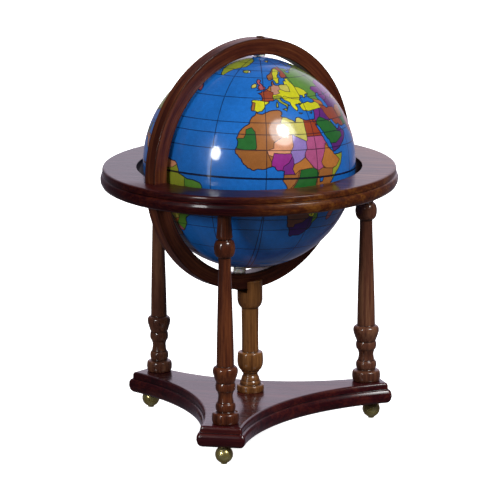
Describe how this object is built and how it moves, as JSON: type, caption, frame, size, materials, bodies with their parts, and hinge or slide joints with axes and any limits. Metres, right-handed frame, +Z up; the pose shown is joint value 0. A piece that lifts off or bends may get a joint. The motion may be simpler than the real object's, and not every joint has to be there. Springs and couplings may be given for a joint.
{
  "type": "miniature globe on stand",
  "caption": "Miniature floor globe: a printed ball spins on pins in a sliding wooden meridian ring, held by a flat horizon ring on turned legs over a hollow-sided base.",
  "frame": {"origin": "on the floor, at the middle of the stand, straight under the centre of the ball", "axes": "+Z up; -Y is the front, where one of the legs stands; +X is to the right seen from the front"},
  "size_m": [0.07, 0.07, 0.0946],
  "materials": {
    "dark_mahogany": "dark reddish stain under gloss varnish",
    "mahogany": "reddish-brown stain under gloss varnish",
    "golden_walnut": "golden-brown stain under gloss varnish",
    "polished_brass": "polished",
    "globe_print": "printed map of the world, blue oceans, glossy",
    "pale_washer": "satin"
  },
  "bodies": {
    "stand": {"base_plate": "dark_mahogany", "horizon_ring": "dark_mahogany", "leg_front": "mahogany", "leg_right": "mahogany", "leg_left": "mahogany", "centre_post": "golden_walnut", "foot_bead_front": "polished_brass", "foot_bead_right": "polished_brass", "foot_bead_left": "polished_brass", "foot_pin_front": "polished_brass", "foot_pin_right": "polished_brass", "foot_pin_left": "polished_brass"},
    "meridian": {"meridian_ring": "mahogany", "pivot_pin_north": "polished_brass", "pivot_pin_south": "polished_brass", "pivot_washer_north": "pale_washer", "pivot_washer_south": "pale_washer"},
    "globe": {"globe_north_half": "globe_print", "globe_south_half": "globe_print"}
  },
  "joints": [
    {"name": "meridian_tilt", "type": "hinge", "parent": "stand", "child": "meridian", "pos_m": [0, 0, 0.06443], "axis": [-0.7749, 0.632, 0], "range_deg": [-84, 70]},
    {"name": "globe_spin", "type": "hinge", "parent": "meridian", "child": "globe", "pos_m": [0, 0, 0.06443], "axis": [0.077, 0.0944, 0.9925], "continuous": true}
  ]
}
